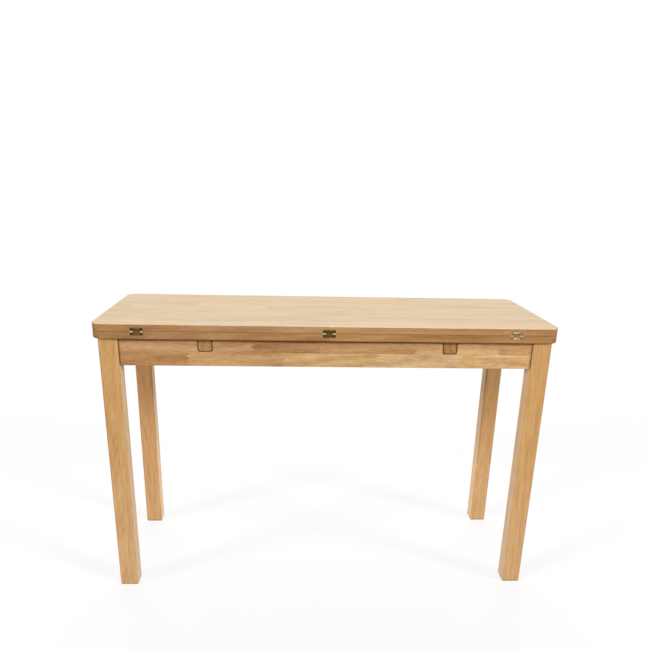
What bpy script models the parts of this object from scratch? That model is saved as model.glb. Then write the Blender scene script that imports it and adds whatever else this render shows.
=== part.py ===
import math

import bmesh
import bpy
from mathutils import Matrix

for old in list(bpy.data.objects):
    bpy.data.objects.remove(old, do_unlink=True)

# Overall sizes of the table, in metres, folded shut
TABLE_HEIGHT = 0.765
LEAF_WIDTH = 1.200
LEAF_DEPTH = 0.450
LEAF_THICK = 0.0195
LEAF_CORNER = 0.030
LEAF_EASE = 0.0015

# Legs, aprons and the guide rail behind the front apron
LEG_SIDE = 0.050
LEG_EASE = 0.0050
LEG_INSET_X = 0.0145
LEG_INSET_Y = 0.0080
APRON_THICK = 0.020
APRON_HEIGHT = 0.071
APRON_SETBACK = 0.005
APRON_EASE = 0.0008
RAIL_SPACING = 0.106

# Corner blocks with the bolts that hold the legs
BLOCK_THICK = 0.022
BLOCK_HEIGHT = 0.056
BLOCK_LEG_GAP = 0.002
BOLT_DIA = 0.008
BOLT_IN_LEG = 0.030
BOLT_NUT_END = 0.014
NUT_ACROSS = 0.013
NUT_HEIGHT = 0.0065

# Pull-out support bars and their stop pegs
LOPER_FROM_LEG = 0.2185
LOPER_WIDTH = 0.034
LOPER_HEIGHT = 0.0315
LOPER_ROUND = 0.005
LOPER_FACE_IN = 0.001
PEG_DIA = 0.010
PEG_DROP = 0.012
PEG_FROM_END = 0.0224

# Concealed hinges in the front edges of the two leaves
HINGE_FROM_END = 0.115
HINGE_WIDTH = 0.032
HINGE_LIP = 0.00145
CUP_BACK = 0.0009
CUP_FLOOR = 0.0007
CUP_RECESS = 0.0008
LINK_ARM = 0.0022
LINK_BOW = 0.0023
LINK_THICK = 0.0032
LINK_PIN = 0.0011
SLIDE_PIN = 0.0012
SCREW_HOLE = 0.0030
SCREW_HEAD = 0.0054

# Clearances
FIT_GAP = 0.0003
SEAM_GAP = 0.0003
LOPER_SIDE_GAP = 0.0016
LOPER_UNDER_GAP = 0.0008
LOPER_TOP_GAP = 0.0005
LINK_GAP = 0.0003
LINK_CLEAR = 0.00025
PIN_GAP = 0.0001

# Counts and smoothness of the curved shapes
LOWER_LINKS = 3
UPPER_LINKS = 2
ARC_STEPS = 8
ROUND_STEPS = 24
PIN_STEPS = 14

# Hinge layout, measured from the fold axis: depth into the leaf and height above the seam
half_seam = SEAM_GAP / 2
arm = LINK_ARM / 2
lip_in = half_seam + HINGE_LIP
pivot = lip_in + LINK_CLEAR + arm
bow_in = -(half_seam + FIT_GAP / 2)
bow_out = bow_in - LINK_BOW
bow_mid = (bow_in + bow_out) / 2
slide_run = 2 * pivot * (math.sqrt(2) - 1)
pocket_low = pivot + math.hypot(pivot - bow_out, arm) + LINK_CLEAR
pocket_deep = pivot + arm + LINK_CLEAR
link_count = LOWER_LINKS + UPPER_LINKS
link_pitch = LINK_THICK + LINK_GAP
pack_width = link_count * link_pitch - LINK_GAP
pocket_half = pack_width / 2 + LINK_CLEAR
lug = HINGE_WIDTH / 2 - pocket_half
lug_mid = pocket_half + lug / 2
cup_low = pocket_low + CUP_FLOOR
cup_deep = pocket_deep + CUP_BACK
screw_low = (lip_in + pocket_low) / 2 + LINK_CLEAR
hinge_proud = half_seam - bow_out

# Levels and faces of the frame
front = -(LEAF_DEPTH + hinge_proud) / 2 + hinge_proud
back = front + LEAF_DEPTH
axis_y = front - half_seam
axis_z = TABLE_HEIGHT - LEAF_THICK - half_seam
leaf_under = axis_z - half_seam - LEAF_THICK
frame_top = leaf_under - FIT_GAP
leg_x = LEAF_WIDTH / 2 - LEG_INSET_X - LEG_SIDE / 2
leg_front = front + LEG_INSET_Y + LEG_SIDE / 2
leg_back = back - LEG_INSET_Y - LEG_SIDE / 2
apron_in = LEG_SIDE / 2 - APRON_SETBACK - APRON_THICK
apron_mid = apron_in + APRON_THICK / 2
apron_z = frame_top - APRON_HEIGHT / 2
rail_front = leg_front - apron_in + RAIL_SPACING
rail_back = rail_front + APRON_THICK
loper_x = leg_x - LEG_SIDE / 2 - LOPER_FROM_LEG
hinge_x = LEAF_WIDTH / 2 - HINGE_FROM_END

table = bpy.data.collections.new("fold_over_table")
bpy.context.scene.collection.children.link(table)
cutters = bpy.data.collections.new("cutters")
bpy.context.scene.collection.children.link(cutters)


def make_material(name, color, metallic, roughness):
    mat = bpy.data.materials.new(name)
    mat.use_nodes = True
    shader = mat.node_tree.nodes["Principled BSDF"]
    shader.inputs["Base Color"].default_value = (*color, 1.0)
    shader.inputs["Metallic"].default_value = metallic
    shader.inputs["Roughness"].default_value = roughness
    return mat


oak_leaf = make_material("oak_leaf", (0.72, 0.52, 0.31), 0.0, 0.5)
oak_frame = make_material("oak_frame", (0.58, 0.36, 0.17), 0.0, 0.5)
brass = make_material("brass", (0.55, 0.42, 0.18), 1.0, 0.35)
steel = make_material("steel", (0.55, 0.55, 0.56), 1.0, 0.35)


def to_mesh(name, bm):
    bmesh.ops.recalc_face_normals(bm, faces=bm.faces)
    mesh = bpy.data.meshes.new(name)
    bm.to_mesh(mesh)
    bm.free()
    return mesh


def place(name, mesh, mat, parent=None, at=(0, 0, 0), turn=(0, 0, 0)):
    part = bpy.data.objects.new(name, mesh)
    table.objects.link(part)
    if not mesh.materials:
        mesh.materials.append(mat)
    part.parent = parent
    part.location = at
    part.rotation_euler = turn
    return part


def axis_empty(name, at, turn=(0, 0, 0)):
    empty = bpy.data.objects.new(name, None)
    empty.empty_display_size = 0.02
    table.objects.link(empty)
    empty.location = at
    empty.rotation_euler = turn
    return empty


def cutter(name, mesh, parent=None, at=(0, 0, 0), turn=(0, 0, 0)):
    tool = bpy.data.objects.new(name, mesh)
    cutters.objects.link(tool)
    tool.parent = parent
    tool.location = at
    tool.rotation_euler = turn
    tool.display_type = "WIRE"
    tool.hide_render = True
    return tool


def cut(part, tool):
    mod = part.modifiers.new(tool.name, "BOOLEAN")
    mod.operation = "DIFFERENCE"
    mod.solver = "EXACT"
    mod.object = tool


def finished(part):
    bpy.context.view_layer.update()
    graph = bpy.context.evaluated_depsgraph_get()
    return bpy.data.meshes.new_from_object(part.evaluated_get(graph))


def box(bm, low, high):
    made = bmesh.ops.create_cube(bm, size=1.0)["verts"]
    size = [b - a for a, b in zip(low, high)]
    mid = [(a + b) / 2 for a, b in zip(low, high)]
    bmesh.ops.scale(bm, vec=size, verts=made)
    bmesh.ops.translate(bm, vec=mid, verts=made)
    return made


def ease(bm, edges, width, steps):
    bmesh.ops.bevel(bm, geom=edges, offset=width, segments=steps, profile=0.5,
                    affect="EDGES", material=-1)


def upright(bm):
    return [e for e in bm.edges if abs(e.verts[0].co.z - e.verts[1].co.z) > 1e-6]


def rims(bm):
    return [e for e in bm.edges if len(e.link_faces) == 2 and e.calc_face_angle() > 1.0]


def arc(cx, cy, radius, start, end, steps):
    turns = [math.radians(start + (end - start) * k / steps) for k in range(steps + 1)]
    return [(cx + radius * math.cos(t), cy + radius * math.sin(t)) for t in turns]


def sheet(name, loops, thick, turn, eased=0.0):
    # The outline is drawn in millimetres so that the fill stays exact on small parts
    curve = bpy.data.curves.new(name, "CURVE")
    curve.dimensions = "2D"
    curve.fill_mode = "BOTH"
    curve.extrude = thick * 500
    for loop in loops:
        spline = curve.splines.new("POLY")
        spline.points.add(len(loop) - 1)
        for point, (a, b) in zip(spline.points, loop):
            point.co = (a * 1000, b * 1000, 0, 1)
        spline.use_cyclic_u = True
    holder = bpy.data.objects.new(name, curve)
    cutters.objects.link(holder)
    drawn = finished(holder)
    bpy.data.objects.remove(holder, do_unlink=True)
    bm = bmesh.new()
    bm.from_mesh(drawn)
    bmesh.ops.remove_doubles(bm, verts=bm.verts, dist=0.002)
    bmesh.ops.scale(bm, vec=(0.001, 0.001, 0.001), verts=bm.verts)
    bmesh.ops.transform(bm, matrix=turn, verts=bm.verts)
    bmesh.ops.dissolve_limit(bm, angle_limit=0.001, verts=bm.verts, edges=bm.edges)
    if eased:
        ease(bm, rims(bm), eased, 1)
    return to_mesh(name, bm)


def turned(name, profile, steps, turn):
    bm = bmesh.new()
    ring = [bm.verts.new((r, 0, h)) for r, h in profile]
    for a, b in zip(ring, ring[1:]):
        bm.edges.new((a, b))
    bmesh.ops.spin(bm, geom=bm.verts[:] + bm.edges[:], cent=(0, 0, 0), axis=(0, 0, 1),
                   angle=2 * math.pi, steps=steps, use_merge=True)
    bmesh.ops.remove_doubles(bm, verts=bm.verts, dist=1e-6)
    bmesh.ops.transform(bm, matrix=turn, verts=bm.verts)
    return to_mesh(name, bm)


def rod(name, radius, low, high, steps, turn, chamfer=0.0):
    ends = [(0, low), (radius - chamfer, low), (radius, low + chamfer)]
    ends += [(radius, high - chamfer), (radius - chamfer, high), (0, high)]
    if not chamfer:
        ends = [ends[0], ends[2], ends[3], ends[5]]
    return turned(name, ends, steps, turn)


flat = Matrix.Identity(4)
face_on = Matrix.Rotation(math.pi / 2, 4, "X")
side_on = Matrix(((0, 0, 1, 0), (1, 0, 0, 0), (0, 1, 0, 0), (0, 0, 0, 1)))
along_x = Matrix.Rotation(math.pi / 2, 4, "Y")
diagonal = Matrix.Rotation(math.pi / 4, 4, "Z") @ along_x
half_turn = (0, math.pi, 0)

# One corner of the frame: leg, corner block, hanger bolt and nut around the leg's own axis
leg_inner = -LEG_SIDE / 2
corner_step = BLOCK_LEG_GAP * math.sqrt(2)
block_out = 2 * (apron_in - leg_inner) + corner_step
block_in = block_out + BLOCK_THICK * math.sqrt(2)
reach_corner = leg_inner * math.sqrt(2)
reach_block_in = (2 * apron_in - block_in) / math.sqrt(2)

bm = bmesh.new()
box(bm, (leg_inner, leg_inner, 0), (-leg_inner, -leg_inner, frame_top))
# The long edges and the foot are rounded, the top stays square under the leaf
ease(bm, [e for e in bm.edges if min(v.co.z for v in e.verts) < LEG_EASE], LEG_EASE, 4)
leg_mesh = to_mesh("leg", bm)
drill_mesh = rod("leg_drill", BOLT_DIA / 2 + FIT_GAP, reach_corner - LEG_EASE * 4,
                 reach_corner + BOLT_IN_LEG + FIT_GAP, ROUND_STEPS, diagonal)
leg_blank = cutter("leg_blank", leg_mesh)
leg_drill = cutter("leg_drill", drill_mesh, at=(0, 0, apron_z))
cut(leg_blank, leg_drill)
leg_mesh = finished(leg_blank)

near = apron_in - FIT_GAP
plan = [(apron_in - block_out + FIT_GAP, near), (apron_in - block_in + FIT_GAP, near),
        (near, apron_in - block_in + FIT_GAP), (near, apron_in - block_out + FIT_GAP)]
block_blank = cutter("block_blank", sheet("block", [plan], BLOCK_HEIGHT, flat, APRON_EASE))
block_drill = cutter("block_drill", rod("block_drill", BOLT_DIA / 2 + FIT_GAP,
                     reach_block_in - BLOCK_THICK, reach_corner + LEG_EASE, ROUND_STEPS, diagonal))
cut(block_blank, block_drill)
block_mesh = finished(block_blank)

bolt_r = BOLT_DIA / 2
bolt_low = reach_block_in - BOLT_NUT_END
bolt_high = reach_corner + BOLT_IN_LEG
bolt_profile = [(0, bolt_low), (bolt_r * 0.8, bolt_low), (bolt_r, bolt_low + bolt_r * 0.2),
                (bolt_r, bolt_high - BOLT_DIA), (bolt_r * 0.2, bolt_high), (0, bolt_high)]
bolt_mesh = turned("hanger_bolt", bolt_profile, ROUND_STEPS, diagonal)

nut_mid = reach_block_in - FIT_GAP - NUT_HEIGHT / 2
hexagon = arc(0, 0, NUT_ACROSS / math.sqrt(3), 0, 300, 5)
bore = arc(0, 0, bolt_r + FIT_GAP, 0, 360 - 360 / ROUND_STEPS, ROUND_STEPS - 1)
nut_turn = diagonal @ Matrix.Translation((0, 0, nut_mid))
nut_mesh = sheet("bolt_nut", [hexagon, bore], NUT_HEIGHT, nut_turn, APRON_EASE / 2)

corner_places = {"back_right": (1, 1, 0), "back_left": (-1, 1, 90),
                 "front_left": (-1, -1, 180), "front_right": (1, -1, 270)}
for corner, (side, end, angle) in corner_places.items():
    spot = (side * leg_x, leg_back if end > 0 else leg_front, 0)
    hub = axis_empty("corner_" + corner, spot, (0, 0, math.radians(angle)))
    place("leg_" + corner, leg_mesh, oak_frame, hub)
    place("corner_block_" + corner, block_mesh, oak_frame, hub, (0, 0, apron_z))
    place("hanger_bolt_" + corner, bolt_mesh, steel, hub, (0, 0, apron_z))
    place("bolt_nut_" + corner, nut_mesh, steel, hub, (0, 0, apron_z))

# Aprons between the legs, with the bar notches in the front one and in the guide rail
notch_half = LOPER_WIDTH / 2 + LOPER_SIDE_GAP
notch_deep = LOPER_TOP_GAP + LOPER_HEIGHT + LOPER_UNDER_GAP - FIT_GAP
notch_round = LOPER_ROUND + LOPER_UNDER_GAP


def notch(centre, top):
    low = top - notch_deep
    left = arc(centre - notch_half + notch_round, low + notch_round, notch_round, 180, 270, ARC_STEPS)
    right = arc(centre + notch_half - notch_round, low + notch_round, notch_round, 270, 360, ARC_STEPS)
    return [(centre - notch_half, top)] + left + right + [(centre + notch_half, top)]


def rail_outline(half, notched):
    top = APRON_HEIGHT / 2
    ends = [(half, top), (half, -top), (-half, -top), (-half, top)]
    if not notched:
        return [ends]
    return [ends[2:] + notch(-loper_x, top) + notch(loper_x, top) + ends[:2]]


between_legs = leg_x + leg_inner - FIT_GAP
side_inside = leg_x + apron_in
side_half = (leg_back - leg_front) / 2 + leg_inner - FIT_GAP
side_turn = Matrix.Rotation(math.pi / 2, 4, "Z") @ face_on
front_mesh = sheet("apron_front", rail_outline(between_legs, True), APRON_THICK, face_on, APRON_EASE)
back_mesh = sheet("apron_back", rail_outline(between_legs, False), APRON_THICK, face_on, APRON_EASE)
guide_mesh = sheet("loper_guide_rail", rail_outline(side_inside - FIT_GAP, True), APRON_THICK, face_on,
                   APRON_EASE)
side_mesh = sheet("apron_side", rail_outline(side_half, False), APRON_THICK, side_turn, APRON_EASE)
middle_y = (leg_front + leg_back) / 2
place("apron_front", front_mesh, oak_frame, at=(0, leg_front - apron_mid, apron_z))
place("apron_back", back_mesh, oak_frame, at=(0, leg_back + apron_mid, apron_z))
place("loper_guide_rail", guide_mesh, oak_frame, at=(0, (rail_front + rail_back) / 2, apron_z))
place("apron_left", side_mesh, oak_frame, at=(-leg_x - apron_mid, middle_y, apron_z))
place("apron_right", side_mesh, oak_frame, at=(leg_x + apron_mid, middle_y, apron_z))

# Pull-out bars: the rear end meets the back apron when in, the peg meets the rail when out
loper_top = leaf_under - LOPER_TOP_GAP
loper_face = leg_front - apron_mid - APRON_THICK / 2 + LOPER_FACE_IN
loper_end = leg_back + apron_in - FIT_GAP
loper_long = loper_end - loper_face
peg_y = loper_end - PEG_FROM_END
half_w = LOPER_WIDTH / 2
half_h = LOPER_HEIGHT / 2
bar = [(half_w, half_h), (-half_w, half_h)]
bar += arc(-half_w + LOPER_ROUND, -half_h + LOPER_ROUND, LOPER_ROUND, 180, 270, ARC_STEPS)
bar += arc(half_w - LOPER_ROUND, -half_h + LOPER_ROUND, LOPER_ROUND, 270, 360, ARC_STEPS)
bar_blank = cutter("bar_blank", sheet("loper", [bar], loper_long, face_on, APRON_EASE))
peg_drill = cutter("peg_drill", rod("peg_drill", PEG_DIA / 2 + FIT_GAP, -LOPER_HEIGHT, LOPER_HEIGHT,
                   ROUND_STEPS, flat), at=(0, peg_y - (loper_face + loper_end) / 2, 0))
cut(bar_blank, peg_drill)
bar_mesh = finished(bar_blank)
peg_mesh = rod("loper_stop", PEG_DIA / 2, -half_h - PEG_DROP, half_h, ROUND_STEPS, flat, APRON_EASE)
for side, sign in (("left", -1), ("right", 1)):
    slide = axis_empty("loper_slide_" + side, (sign * loper_x, loper_face, loper_top - half_h))
    place("loper_" + side, bar_mesh, oak_frame, slide, (0, loper_long / 2, 0))
    place("loper_stop_" + side, peg_mesh, oak_frame, slide, (0, peg_y - loper_face, 0))

# The two leaves, with an open mortise for each hinge cup in the front edge
hinge_places = {"left": -hinge_x, "middle": 0.0, "right": hinge_x}
bm = bmesh.new()
box(bm, (-LEAF_WIDTH / 2, half_seam, half_seam),
    (LEAF_WIDTH / 2, half_seam + LEAF_DEPTH, half_seam + LEAF_THICK))
ease(bm, upright(bm), LEAF_CORNER, ARC_STEPS)
ease(bm, rims(bm), LEAF_EASE, 2)
leaf_blank = cutter("leaf_blank", to_mesh("leaf", bm))
bm = bmesh.new()
for spot in hinge_places.values():
    box(bm, (spot - HINGE_WIDTH / 2 - FIT_GAP, half_seam - LEAF_THICK, half_seam - LEAF_THICK),
        (spot + HINGE_WIDTH / 2 + FIT_GAP, cup_deep + FIT_GAP, cup_low + FIT_GAP))
mortises = cutter("mortises", to_mesh("mortises", bm))
cut(leaf_blank, mortises)
leaf_mesh = finished(leaf_blank)

fold_axis = axis_empty("leaf_fold_axis", (0, axis_y, axis_z))
place("upper_leaf", leaf_mesh, oak_leaf, fold_axis)
place("lower_leaf", leaf_mesh, oak_leaf, at=(0, axis_y, axis_z), turn=half_turn)

# Hinge cup: a block with a link pocket, a recessed screw seat at each end and a bore for its pin
bm = bmesh.new()
box(bm, (-HINGE_WIDTH / 2, half_seam, half_seam), (HINGE_WIDTH / 2, cup_deep, cup_low))
cup_blank = cutter("cup_blank", to_mesh("cup", bm))
bm = bmesh.new()
box(bm, (-pocket_half, -cup_deep, lip_in), (pocket_half, pocket_deep, pocket_low))
cut(cup_blank, cutter("cup_pocket", to_mesh("cup_pocket", bm)))
bm = bmesh.new()
seat_high = (pocket_low + cup_low) / 2
seat_half = lug / 2 - CUP_FLOOR
for side in (-1, 1):
    box(bm, (side * lug_mid - seat_half, -cup_deep, screw_low * 2 - seat_high),
        (side * lug_mid + seat_half, half_seam + CUP_RECESS, seat_high))
cut(cup_blank, cutter("cup_seats", to_mesh("cup_seats", bm)))
seat = half_seam + CUP_RECESS
hole_r = SCREW_HOLE / 2
head_r = SCREW_HEAD / 2
sunk = [(0, -cup_deep), (head_r, -cup_deep), (head_r, seat), (hole_r, seat + head_r - hole_r),
        (hole_r, cup_deep * 2), (0, cup_deep * 2)]
into_leaf = Matrix.Rotation(-math.pi / 2, 4, "X")
sunk_mesh = turned("screw_sink", sunk, ROUND_STEPS, into_leaf)
for side in (-1, 1):
    cut(cup_blank, cutter("screw_sink", sunk_mesh, at=(side * lug_mid, 0, screw_low)))
pin_low = -pocket_half - lug / 2
pin_high = HINGE_WIDTH / 2 - PIN_GAP * 2
bore_mesh = rod("pin_bore", LINK_PIN / 2 + PIN_GAP, pin_low - PIN_GAP, HINGE_WIDTH, PIN_STEPS, along_x)
cut(cup_blank, cutter("pin_bore", bore_mesh, at=(0, pivot, pivot)))
cup_mesh = finished(cup_blank)
pin_mesh = rod("hinge_pin", LINK_PIN / 2, pin_low, pin_high, PIN_STEPS, along_x)

# Hinge links: knee plates on a pivot, sliding on each other along a pin in a straight slot
tip_r = LINK_BOW / 2
knee_r = tip_r * 1.7
reach = pivot + arm
knee = arc(pivot, pivot, arm, 90, -90, PIN_STEPS // 2)
knee += [(bow_in, pivot - arm)]
knee += arc(bow_mid, -reach + tip_r, tip_r, 0, -180, PIN_STEPS // 2)
knee += arc(bow_out + knee_r, reach - knee_r, knee_r, 180, 90, PIN_STEPS // 2)
pivot_bore = arc(pivot, pivot, LINK_PIN / 2 + PIN_GAP, 0, 360 - 360 / PIN_STEPS, PIN_STEPS - 1)
slide_r = SLIDE_PIN / 2 + PIN_GAP
pin_hole = arc(bow_mid, 0, slide_r, 0, 360 - 360 / PIN_STEPS, PIN_STEPS - 1)
slot = arc(bow_mid, 0, slide_r, 0, 180, PIN_STEPS // 2)
slot += arc(bow_mid, -slide_run, slide_r, 180, 360, PIN_STEPS // 2)
holed_mesh = sheet("holed_link", [knee, pivot_bore, pin_hole], LINK_THICK, side_on)
slotted_mesh = sheet("slotted_link", [knee, pivot_bore, slot], LINK_THICK, side_on)
slide_mesh = rod("slide_pin", SLIDE_PIN / 2, -pack_width / 2, pack_width / 2, PIN_STEPS, along_x)

lower_swing = axis_empty("lower_link_axis", (0, axis_y + pivot, axis_z - pivot))
upper_swing = axis_empty("upper_link_axis", (0, axis_y + pivot, axis_z + pivot))
for hinge, spot in hinge_places.items():
    name = "hinge_" + hinge
    place(name + "_upper_cup", cup_mesh, brass, fold_axis, (spot, 0, 0))
    place(name + "_lower_cup", cup_mesh, brass, None, (spot, axis_y, axis_z), half_turn)
    place(name + "_upper_pin", pin_mesh, brass, fold_axis, (spot, pivot, pivot))
    place(name + "_lower_pin", pin_mesh, brass, None, (spot, axis_y + pivot, axis_z - pivot), half_turn)
    place(name + "_slide_pin", slide_mesh, brass, lower_swing, (spot, bow_mid - pivot, pivot))
    for k in range(link_count):
        across = spot + (k - (link_count - 1) / 2) * link_pitch
        if k % 2:
            place(f"{name}_upper_link_{k // 2 + 1}", slotted_mesh, brass, upper_swing,
                  (across, -pivot, -pivot))
        else:
            place(f"{name}_lower_link_{k // 2 + 1}", holed_mesh, brass, lower_swing,
                  (across, -pivot, pivot), half_turn)
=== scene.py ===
import math
import random

import bmesh
import bpy
from mathutils import Euler, Matrix, Vector


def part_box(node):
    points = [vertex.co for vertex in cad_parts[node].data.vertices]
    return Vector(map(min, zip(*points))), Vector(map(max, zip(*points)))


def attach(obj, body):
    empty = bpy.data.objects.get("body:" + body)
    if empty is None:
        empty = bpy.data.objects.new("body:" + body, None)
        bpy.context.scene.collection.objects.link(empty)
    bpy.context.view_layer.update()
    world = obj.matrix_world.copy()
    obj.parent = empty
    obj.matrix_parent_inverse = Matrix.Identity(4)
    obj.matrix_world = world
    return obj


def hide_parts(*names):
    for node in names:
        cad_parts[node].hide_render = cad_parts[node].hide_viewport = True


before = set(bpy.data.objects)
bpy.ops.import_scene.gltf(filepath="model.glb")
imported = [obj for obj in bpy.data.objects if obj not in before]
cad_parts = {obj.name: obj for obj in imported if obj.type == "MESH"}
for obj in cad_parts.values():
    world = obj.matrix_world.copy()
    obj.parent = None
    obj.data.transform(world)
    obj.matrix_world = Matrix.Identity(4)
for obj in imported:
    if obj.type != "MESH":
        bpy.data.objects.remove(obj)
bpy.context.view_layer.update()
scene = bpy.context.scene
scene.view_settings.view_transform = "Standard"
print("frame loaded with", len(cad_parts), "nodes")

# camera, standing where the photograph was taken
viewSet = {
    "place": (-0.10073, -1.91699, 1.12310), "turn": (69.3523, -1.3227, -2.8403),
    "lens": 37.4583, "sensor": 36.0, "shiftX": -0.002019, "shiftY": 0.161538,
}
camData = bpy.data.cameras.new("viewCamera")
camData.sensor_width = viewSet["sensor"]
camData.lens = viewSet["lens"]
camData.shift_x = viewSet["shiftX"]
camData.shift_y = viewSet["shiftY"]
camera = bpy.data.objects.new("viewCamera", camData)
scene.collection.objects.link(camera)
camera.location = viewSet["place"]
camera.rotation_euler = [math.radians(angle) for angle in viewSet["turn"]]
scene.camera = camera
print("camera set")


# small node helpers
def addNode(tree, kind, **sets):
    node = tree.nodes.new(kind)
    for key, value in sets.items():
        setattr(node, key, value)
    return node


def feed(tree, node, socket, source):
    if isinstance(source, bpy.types.NodeSocket):
        tree.links.new(source, node.inputs[socket])
    else:
        node.inputs[socket].default_value = source


def calc(tree, how, a, b=0.5, clamp=False):
    node = addNode(tree, "ShaderNodeMath", operation=how, use_clamp=clamp)
    feed(tree, node, 0, a)
    feed(tree, node, 1, b)
    return node.outputs[0]


def calcVector(tree, how, a, b):
    node = addNode(tree, "ShaderNodeVectorMath", operation=how)
    feed(tree, node, 0, a)
    feed(tree, node, 1, b)
    return node.outputs[0]


def noise(tree, vector, scale, detail=2.0, rough=0.5, colour=False):
    node = addNode(tree, "ShaderNodeTexNoise")
    feed(tree, node, "Vector", vector)
    feed(tree, node, "Scale", scale)
    feed(tree, node, "Detail", detail)
    feed(tree, node, "Roughness", rough)
    return node.outputs[1 if colour else 0]


def remap(tree, value, low, high, toLow=0.0, toHigh=1.0):
    node = addNode(tree, "ShaderNodeMapRange", interpolation_type="SMOOTHSTEP")
    for k, source in enumerate((value, low, high, toLow, toHigh)):
        feed(tree, node, k, source)
    return node.outputs[0]


def ramp(tree, value, stops):
    node = addNode(tree, "ShaderNodeValToRGB")
    bar = node.color_ramp
    while len(bar.elements) < len(stops):
        bar.elements.new(0.5)
    for mark, (at, colour) in zip(bar.elements, stops):
        mark.position = at
        mark.color = (*colour, 1.0)
    feed(tree, node, 0, value)
    return node.outputs[0]


def blendColour(tree, how, amount, a, b):
    node = addNode(tree, "ShaderNodeMix", data_type="RGBA", blend_type=how)
    feed(tree, node, 0, amount)
    feed(tree, node, 6, a if isinstance(a, bpy.types.NodeSocket) else (*a, 1.0))
    feed(tree, node, 7, b if isinstance(b, bpy.types.NodeSocket) else (*b, 1.0))
    return node.outputs[2]


def startMaterial(name):
    mat = bpy.data.materials.new(name)
    mat.use_nodes = True
    return mat, mat.node_tree, mat.node_tree.nodes["Principled BSDF"]


def bumpFrom(tree, shader, height, strength, depth):
    bump = addNode(tree, "ShaderNodeBump")
    feed(tree, bump, "Strength", strength)
    feed(tree, bump, "Distance", depth)
    feed(tree, bump, "Height", height)
    feed(tree, shader, "Normal", bump.outputs[0])


# oiled oak: growth rings round each stave's own pith, streaks, pores and darker end grain
grainTurns = {"x": (0, 0, 0), "y": (0, 0, -math.pi / 2), "z": (0, math.pi / 2, 0)}
leafOak = {
    "pale": (0.61, 0.360, 0.164), "mid": (0.437, 0.231, 0.090), "deep": (0.244, 0.108, 0.034),
    "flatPale": (0.775, 0.635, 0.472), "flatMid": (0.680, 0.531, 0.361), "flatDeep": (0.515, 0.370, 0.218),
    "ring": 0.08, "band": 0.12, "streak": 0.60, "broad": 0.42, "fleck": 0.34, "fibre": 0.25,
    "streakRun": 6, "streakWide": 90, "fleckRun": 44, "ringScale": 92, "bandScale": 24, "bend": 0.006,
    "pore": 0.30, "end": (0.86, 0.80, 0.76), "rough": 0.82, "sheen": 0.08,
    "rub": (1.09, 1.07, 1.05),
}
frameOak = {
    "pale": (0.74, 0.470, 0.232), "mid": (0.595, 0.340, 0.147), "deep": (0.405, 0.205, 0.078),
    "ring": 0.12, "band": 0.26, "streak": 0.74, "broad": 0.44, "fleck": 0.92, "fibre": 0.30,
    "streakRun": 7, "streakWide": 80, "fleckRun": 44, "ringScale": 84, "bandScale": 21, "bend": 0.010,
    "pore": 0.36, "end": (0.76, 0.68, 0.66), "rough": 0.66, "sheen": 0.20,
    "rub": (1.08, 1.09, 1.11),
}
legOak = dict(
    frameOak,
    pale=(0.71, 0.440, 0.189), mid=(0.565, 0.310, 0.107), deep=(0.38, 0.180, 0.051),
    ring=0.20, band=0.10, streak=0.42, broad=0.16, fleck=0.62, streakWide=120, fleckRun=20, bend=0.004,
    rough=0.44, sheen=0.50, foot=(1.09, 1.17, 1.46), footTop=0.55,
)
# what all the oak shares; a noise has its stretch along and across the grain, its detail and its roughness
oakSet = {
    "sway": ((2.2, 11, 11), 2.0, 0.5), "broad": ((2.4, 26, 26), 2.0, 0.5),
    "fibre": ((38, 1500, 1500), 2.0, 0.6), "pores": ((75, 1250, 1250), 1.0, 0.5),
    "streakDetail": (4.0, 0.55), "fleckWide": 250, "fleckDetail": (3.0, 0.6),
    "shells": (0.10, 1, 1), "ringWander": 9.0, "bandWander": 6.0,
    "ringStops": ((0.0, 0.15), (0.45, 0.28), (0.88, 1.0), (1.0, 0.2)), "ringMiddle": 0.42,
    "ringByBroad": (0.3, 0.7, 0.3, 1.4), "toneStops": (0.10, 0.5, 0.92), "flatRange": (0.85, 0.99),
    "poreRange": (0.60, 0.70), "poreByRing": (0.9, 0.1, 0.35, 1.0), "poreShade": (0.42, 0.33, 0.24),
    "endRange": (0.25, 0.95), "rubNoise": (60.0, 3.0, 0.6), "rubRange": (0.38, 0.66),
    "paintedShade": (0.54, 0.45, 0.36),
    "streakGloss": 0.18, "poreGloss": 0.14, "endGloss": 0.12, "ior": 1.48,
    "fibreHeight": 0.35, "ringHeight": 0.25, "bump": (0.30, 0.00025),
}


def growthRings(tree, spot, profile, scale, wander):
    wave = addNode(tree, "ShaderNodeTexWave", wave_type="RINGS", rings_direction="SPHERICAL",
                   wave_profile=profile)
    shells = calcVector(tree, "MULTIPLY", spot, oakSet["shells"])  # long shells show as arches
    feed(tree, wave, "Vector", shells)
    for socket, value in (("Scale", scale), ("Distortion", wander), ("Detail", 3.0),
                          ("Detail Scale", 0.35), ("Detail Roughness", 0.55)):
        feed(tree, wave, socket, value)
    return wave.outputs["Fac"]


def stretchedNoise(tree, spot, stretch, detail, rough, colour=False):
    return noise(tree, calcVector(tree, "MULTIPLY", spot, stretch), 1.0, detail, rough, colour)


def toneRamp(tree, tone, *shades):
    return ramp(tree, tone, list(zip(oakSet["toneStops"], shades)))


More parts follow.
